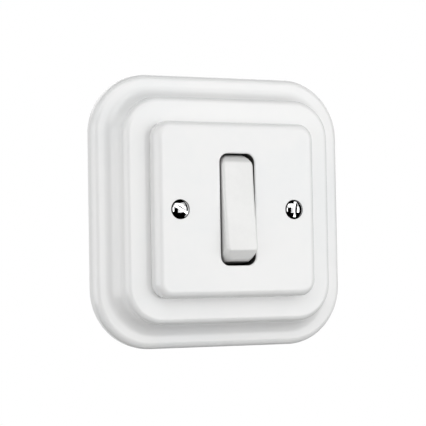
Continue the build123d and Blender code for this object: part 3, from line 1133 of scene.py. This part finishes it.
@dataclass
class Surround:
    """The porcelain surround, one section swept round a rounded square."""

    finishes: Finishes
    corner: float = 22.0 * MM
    shelf: float = 5.4 * MM
    edge_round: float = 2.6 * MM
    step_half: float = 41.0 * MM
    step_corner: float = 14.0 * MM
    step_round: float = 2.2 * MM
    cove: float = 5.0 * MM
    wall: float = 5.0 * MM
    foot: float = 4.0 * MM
    relief: float = 2.0 * MM
    hollow_corner: float = 10.0 * MM
    opening_half: float = 29.0 * MM
    opening_corner: float = 6.0 * MM
    glaze_round: float = 0.45 * MM
    corner_steps: int = 28
    side_steps: int = 12
    round_steps: int = 12

    def bends(self, half: float, top: float) -> tuple[list[Bend], list[Bend]]:
        """Lists the corners of the section.

        Args:
            half: Half the surround's width.
            top: The height of its step over the wall.

        Returns:
            The outside from the foot over shelf, cove and step to the opening, and the inside back from
            the opening through the hollow and the relief to the foot.
        """
        hollow = self.step_half - self.wall
        soft = self.glaze_round
        outside = [
            Bend(half, 0.0, soft),
            Bend(half, self.shelf, self.edge_round),
            Bend(self.step_half, self.shelf, self.cove),
            Bend(self.step_half, top, self.step_round),
            Bend(self.opening_half, top, soft),
        ]
        inside = [
            Bend(self.opening_half, top - self.wall, soft),
            Bend(hollow, top - self.wall, soft),
            Bend(hollow, self.relief, soft),
            Bend(half - self.foot, self.relief, soft),
            Bend(half - self.foot, 0.0, soft),
        ]
        return outside, inside

    def section(self) -> list[tuple[float, float, float]]:
        """Draws the section.

        Returns:
            Points as half width, height and the radius of the ring's corners.
        """
        low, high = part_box("surround_frame")
        half = high.x
        outside, inside = self.bends(half, -low.y)
        outer_rings = [
            (self.opening_half, self.opening_corner),
            (self.step_half - self.step_round, self.step_corner - self.step_round),
            (self.step_half + self.cove, self.step_corner + self.cove),
            (half - self.edge_round, self.corner - self.edge_round),
            (half, self.corner),
        ]
        inner_rings = [
            (self.opening_half, self.opening_corner),
            (self.step_half - self.wall, self.hollow_corner),
            (half - self.foot, self.corner - self.foot),
        ]
        points = rounded_section(outside + inside, self.round_steps)
        first_inside = len(outside) * (self.round_steps + 1)
        return [
            (x, height, interpolate(x, outer_rings if number < first_inside else inner_rings))
            for number, (x, height) in enumerate(points)
        ]

    def build(self) -> None:
        """Sweeps the section and puts the result in the place of the plain node."""
        seed = bpy.data.meshes.new("surround_section")
        seed.from_pydata(self.section(), [], [])
        slot, finish = self.finishes.made["glaze"]
        mesh = grown("surround_porcelain", seed, sweep_tree(), Corner_Steps=self.corner_steps,
                     Side_Steps=self.side_steps, Finish=finish)
        piece = linked("surround_porcelain", mesh)
        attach(piece, SWITCH_BODY)
        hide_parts("surround_frame")
        LOG.info("%s: %d faces", piece.name, len(mesh.polygons))


@dataclass(frozen=True)
class ThreadForm:
    """A machine thread: radius, pitch, the plain length with the head, and the share it fades over."""

    radius: float
    pitch: float
    plain: float
    fade: float = 0.06

    @property
    def depth(self) -> float:
        """Returns how deep the thread is."""
        return THREAD_DEPTH_SHARE * self.pitch


@dataclass
class ThreadedScrew:
    """A screw of the frame with a real thread: its shank is drawn in and a ridge is wound round it."""

    finishes: Finishes
    helix: bpy.types.NodeTree
    node: str
    thread: ThreadForm
    axis: Along
    toward: int

    def core(self) -> bpy.types.Mesh:
        """Copies the node's mesh, merges its loose triangles and draws its shank in to the thread's root.

        Returns:
            The new mesh.
        """
        mesh = bpy.data.objects[self.node].data.copy()
        middle = box_middle(self.node)
        work = bmesh.new()
        work.from_mesh(mesh)
        bmesh.ops.remove_doubles(work, verts=work.verts, dist=CAD_MERGE)
        for vertex in work.verts:
            arm = vertex.co - middle
            arm[self.axis.value] = 0.0
            if abs(arm.length - self.thread.radius) < SHANK_TOLERANCE:
                vertex.co -= arm.normalized() * self.thread.depth
        for edge in work.edges:
            edge.smooth = edge.calc_face_angle(0.0) < SMOOTH_ANGLE
        for face in work.faces:
            face.smooth = True
        work.to_mesh(mesh)
        work.free()
        return mesh

    def ridge(self, finish: Material) -> bpy.types.Mesh:
        """Winds the thread from just inside the tip back to the plain part.

        Args:
            finish: The screw's finish.

        Returns:
            The ridge in its place on the screw.
        """
        low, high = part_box(self.node)
        axis, thread = self.axis.value, self.thread
        reach = (high - low)[axis] - thread.plain
        mesh = grown(self.node + "_thread", bpy.data.meshes.new("thread_seed"), self.helix,
                     Turns=reach / thread.pitch, Radius=thread.radius - thread.depth,
                     Length=reach - thread.depth, Ridge=thread.depth, Fade=thread.fade,
                     Sides=RIDGE_SIDES, Finish=finish)
        tip = box_middle(self.node)
        tip[axis] = (high if self.toward > 0 else low)[axis] - self.toward * thread.depth
        inward = Vector((0, 0, 0))
        inward[axis] = -self.toward
        turn = inward.to_track_quat("Z", "Y").to_matrix().to_4x4()
        mesh.transform(Matrix.Translation(tip) @ turn)
        return mesh

    def build(self) -> None:
        """Puts the threaded screw in the place of the plain one."""
        slot, finish = self.finishes.made[self.node]
        name = self.node + "_threaded"
        joined = bmesh.new()
        for part in (self.core(), self.ridge(finish)):
            joined.from_mesh(part)
            bpy.data.meshes.remove(part)
        mesh = bpy.data.meshes.new(name)
        joined.to_mesh(mesh)
        joined.free()
        mesh.materials.append(finish)
        piece = linked(name, mesh)
        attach(piece, SWITCH_BODY)
        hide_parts(self.node)
        LOG.info("%s: %d faces", piece.name, len(mesh.polygons))


@dataclass
class Front:
    """Everything that shows from the room: surround, cover, cover screws and rocker."""

    finishes: Finishes
    nodes: dict[str, bpy.types.Object]
    helix: bpy.types.NodeTree
    cover_thread: ThreadForm = ThreadForm(radius=1.7 * MM, pitch=0.6 * MM, plain=7.5 * MM)

    def build(self) -> None:
        """Dresses the front's pieces."""
        Surround(self.finishes).build()
        self.finishes.dress(self.nodes["cover_plate"], "cover_glaze")
        self.finishes.dress(self.nodes["rocker"], "rocker")
        for side in SIDES:
            node = f"cover_screw_{side}"
            ThreadedScrew(self.finishes, self.helix, node, self.cover_thread, Along.Y, toward=1).build()


@dataclass
class Works:
    """What carries and moves behind the cover: ring, pillars, housing, pin, plunger, spring and blade."""

    finishes: Finishes
    nodes: dict[str, bpy.types.Object]

    def build(self) -> None:
        """Dresses the works."""
        wears = {
            "support_ring": "ring",
            "bearing_frame": "housing",
            "pivot_pin": "pin",
            "plunger": "nylon",
            "plunger_spring": "spring",
            "contact_blade": "blade",
        }
        wears |= {f"moving_contact_{way}": "silver" for way in WAYS}
        wears |= {f"pillar_{side}": f"pillar_{side}" for side in SIDES}
        for node, finish in wears.items():
            self.finishes.dress(self.nodes[node], finish)


@dataclass
class Back:
    """The contact block with its terminals, contacts and screws."""

    finishes: Finishes
    nodes: dict[str, bpy.types.Object]
    helix: bpy.types.NodeTree
    clamp_thread: ThreadForm = ThreadForm(radius=1.5 * MM, pitch=0.5 * MM, plain=2.0 * MM)
    assembly_thread: ThreadForm = ThreadForm(radius=1.25 * MM, pitch=0.45 * MM, plain=16.6 * MM)

    def build(self) -> None:
        """Dresses the back."""
        self.finishes.dress(self.nodes["contact_block"], "bisque")
        for way, toward in (("common", 1), ("upper", -1), ("lower", -1)):
            self.finishes.dress(self.nodes[f"terminal_{way}"], "brass")
            node = f"terminal_screw_{way}"
            ThreadedScrew(self.finishes, self.helix, node, self.clamp_thread, Along.X, toward).build()
        for way in WAYS:
            self.finishes.dress(self.nodes[f"fixed_contact_{way}"], "silver")
        for number in ASSEMBLY_SCREWS:
            node = f"assembly_screw_{number}"
            ThreadedScrew(self.finishes, self.helix, node, self.assembly_thread, Along.Y, toward=-1).build()


def direction_to(azimuth: float, elevation: float) -> Vector:
    """Returns the direction from the switch that these angles in degrees give."""
    a, e = math.radians(azimuth), math.radians(elevation)
    return Vector((math.sin(a) * math.cos(e), -math.cos(a) * math.cos(e), math.sin(e)))


def studio_sheet(name: str, corners: list[Vector], material: Material) -> bpy.types.Object:
    """Makes a flat sheet that belongs to the studio.

    Args:
        name: The sheet's name.
        corners: Its four corners in order.
        material: Its material.

    Returns:
        The sheet.
    """
    mesh = bpy.data.meshes.new(name)
    mesh.from_pydata(corners, [], [(0, 1, 2, 3)])
    mesh.materials.append(material)
    sheet = linked(name, mesh)
    return sheet


@dataclass(frozen=True)
class SoftLight:
    """One rectangular soft light that faces the switch, with its angles in degrees and its power in watts."""

    name: str
    azimuth: float
    elevation: float
    distance: float
    width: float
    height: float
    power: float

    def build(self) -> None:
        """Hangs the light."""
        lamp = bpy.data.lights.new(self.name, "AREA")
        lamp.shape = "RECTANGLE"
        lamp.size = self.width
        lamp.size_y = self.height
        lamp.energy = self.power
        back = direction_to(self.azimuth, self.elevation)
        holder = linked(self.name, lamp)
        holder.location = back * self.distance
        holder.rotation_mode = "QUATERNION"
        holder.rotation_quaternion = back.to_track_quat("Z", "Y")


@cache
def card_black() -> Material:
    """Makes the dead black of the cards.

    Returns:
        The material, the same one each time.
    """
    coat = Coat("card_black")
    coat.set(Base_Color=full((0.0, 0.0, 0.0)), Specular_IOR_Level=0.0)
    return coat.material


@dataclass(frozen=True)
class DarkCard:
    """A black card beside the set that only reflections show, as a photographer's flag."""

    name: str
    azimuth: float
    elevation: float
    distance: float
    width: float
    height: float

    def build(self) -> None:
        """Hangs the card, facing the switch."""
        back = direction_to(self.azimuth, self.elevation)
        turn = back.to_track_quat("Z", "Y")
        middle = back * self.distance
        arms = [Vector((x * self.width / 2, y * self.height / 2, 0)) for x, y in SHEET_CORNERS]
        card = studio_sheet(self.name, [middle + turn @ arm for arm in arms], card_black())
        for kind in ("camera", "diffuse", "shadow", "transmission", "volume_scatter"):
            setattr(card, f"visible_{kind}", False)


STUDIO_LIGHTS = (
    SoftLight("side_left", azimuth=-82, elevation=0, distance=0.8, width=1.2, height=0.58, power=2.9),
    SoftLight("side_right", azimuth=36, elevation=0, distance=0.8, width=0.9, height=0.58, power=2.85),
    SoftLight("key_left", azimuth=-20, elevation=37, distance=0.9, width=0.65, height=0.57, power=1.75),
    SoftLight("key_right", azimuth=34, elevation=35, distance=0.9, width=1.0, height=0.57, power=1.05),
    SoftLight("rear", azimuth=175, elevation=38, distance=0.9, width=0.9, height=0.6, power=0.8),
    SoftLight("low_front", azimuth=0, elevation=-32, distance=0.9, width=0.5, height=0.3, power=0.3),
)

DARK_CARDS = (
    DarkCard("card_above", azimuth=0, elevation=90, distance=0.9, width=1.8, height=1.5),
    DarkCard("card_below", azimuth=0, elevation=-90, distance=0.4, width=1.9, height=1.7),
    DarkCard("card_right", azimuth=84, elevation=12, distance=1.2, width=1.5, height=2.2),
    DarkCard("card_camera", azimuth=-30, elevation=-8, distance=1.1, width=0.66, height=1.5),
)


@dataclass
class Studio:
    """White studio: world, floor, soft lights, black cards and the camera at the photograph's angle."""

    azimuth: float = -24.53
    elevation: float = -2.37
    distance: float = 0.5769
    aim: Vector = field(default_factory=lambda: Vector((-0.00424, -0.008, -0.00075)))
    roll: float = -1.0
    lens: float = 132.67
    nearest: float = 0.01
    floor_drop: float = 1.2
    floor_half: float = 4.5
    floor_white: float = 0.9
    fade_start: float = 0.3
    fade_end: float = 3.2
    paper: Colour = (0.8, 0.8, 0.8)
    paper_light: Colour = (0.84, 0.84, 0.84)
    paper_roughness: float = 0.8
    fibre_scale: float = 60.0
    world_light: float = 0.3

    def seen(self, graph: Graph) -> Socket:
        """Marks the rays that show the background.

        Args:
            graph: The material's or the world's graph.

        Returns:
            One for camera, glossy and transmission rays, else zero.
        """
        rays = graph.add("ShaderNodeLightPath").outputs
        mirrored = graph.math("MAXIMUM", rays["Is Glossy Ray"], rays["Is Transmission Ray"])
        return graph.math("MAXIMUM", rays["Is Camera Ray"], mirrored)

    def world(self) -> None:
        """Makes the world white for the camera and for reflections, and a plain dim light otherwise."""
        world = bpy.data.worlds.new("studio")
        bpy.context.scene.world = world
        world.use_nodes = True
        graph = Graph(world.node_tree)
        background = world.node_tree.nodes["Background"]
        background.inputs["Color"].default_value = full((1.0, 1.0, 1.0))
        graph.put(background.inputs["Strength"], graph.between(self.seen(graph), self.world_light, 1.0))

    def floor_paper(self) -> Material:
        """Makes the floor's paper, nearly white to the camera and quite white far from the switch.

        Returns:
            The material.
        """
        coat = Coat("floor_paper")
        graph = coat.graph
        noise = {"Vector": coat.place, "Scale": self.fibre_scale, "Detail": 3.0}
        fibre = graph.add("ShaderNodeTexNoise", noise).outputs["Fac"]
        paper = graph.blend(fibre, self.paper, self.paper_light)
        coat.set(Base_Color=paper, Roughness=self.paper_roughness)
        away = graph.add("ShaderNodeVectorMath", {0: coat.place}, operation="LENGTH").outputs["Value"]
        whiter = graph.ramp(away, self.floor_drop + self.fade_start, self.fade_end, self.floor_white, 1.0)
        share = graph.times(self.seen(graph), whiter)
        white = graph.add("ShaderNodeEmission", {"Color": full((1.0, 1.0, 1.0)), "Strength": 1.0})
        mixed = graph.add("ShaderNodeMixShader", {0: share, 1: coat.shader.outputs[0], 2: white.outputs[0]})
        surface = coat.material.node_tree.nodes["Material Output"].inputs["Surface"]
        graph.put(surface, mixed.outputs[0])
        return coat.material

    def floor(self) -> None:
        """Lays a pale floor below the switch, which still takes its shadow."""
        half = self.floor_half
        corners = [Vector((x * half, y * half, -self.floor_drop)) for x, y in SHEET_CORNERS]
        studio_sheet("studio_floor", corners, self.floor_paper())

    def camera(self) -> None:
        """Sets the camera as the photograph's, fitted to the outline of the surround and the cover."""
        data = bpy.data.cameras.new("camera")
        data.lens = self.lens
        data.clip_start = self.nearest
        back = direction_to(self.azimuth, self.elevation)
        turn = back.to_track_quat("Z", "Y").to_matrix() @ Matrix.Rotation(math.radians(self.roll), 3, "Z")
        holder = linked("camera", data)
        holder.matrix_world = Matrix.Translation(self.aim + back * self.distance) @ turn.to_4x4()
        bpy.context.scene.camera = holder

    def build(self) -> None:
        """Builds the whole studio."""
        bpy.context.scene.view_settings.view_transform = "Standard"
        self.world()
        self.floor()
        for fitting in STUDIO_LIGHTS + DARK_CARDS:
            fitting.build()
        self.camera()


def main() -> None:
    """Dresses the switch, piece by piece, and builds the studio round it."""
    logging.basicConfig(level=logging.INFO, format="%(name)s %(message)s")
    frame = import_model()
    nodes = frame["nodes"]
    finishes = make_finishes()
    helix = helix_tree()
    for part in (Front(finishes, nodes, helix), Works(finishes, nodes), Back(finishes, nodes, helix)):
        part.build()
    Studio().build()


if __name__ == "__main__":
    main()
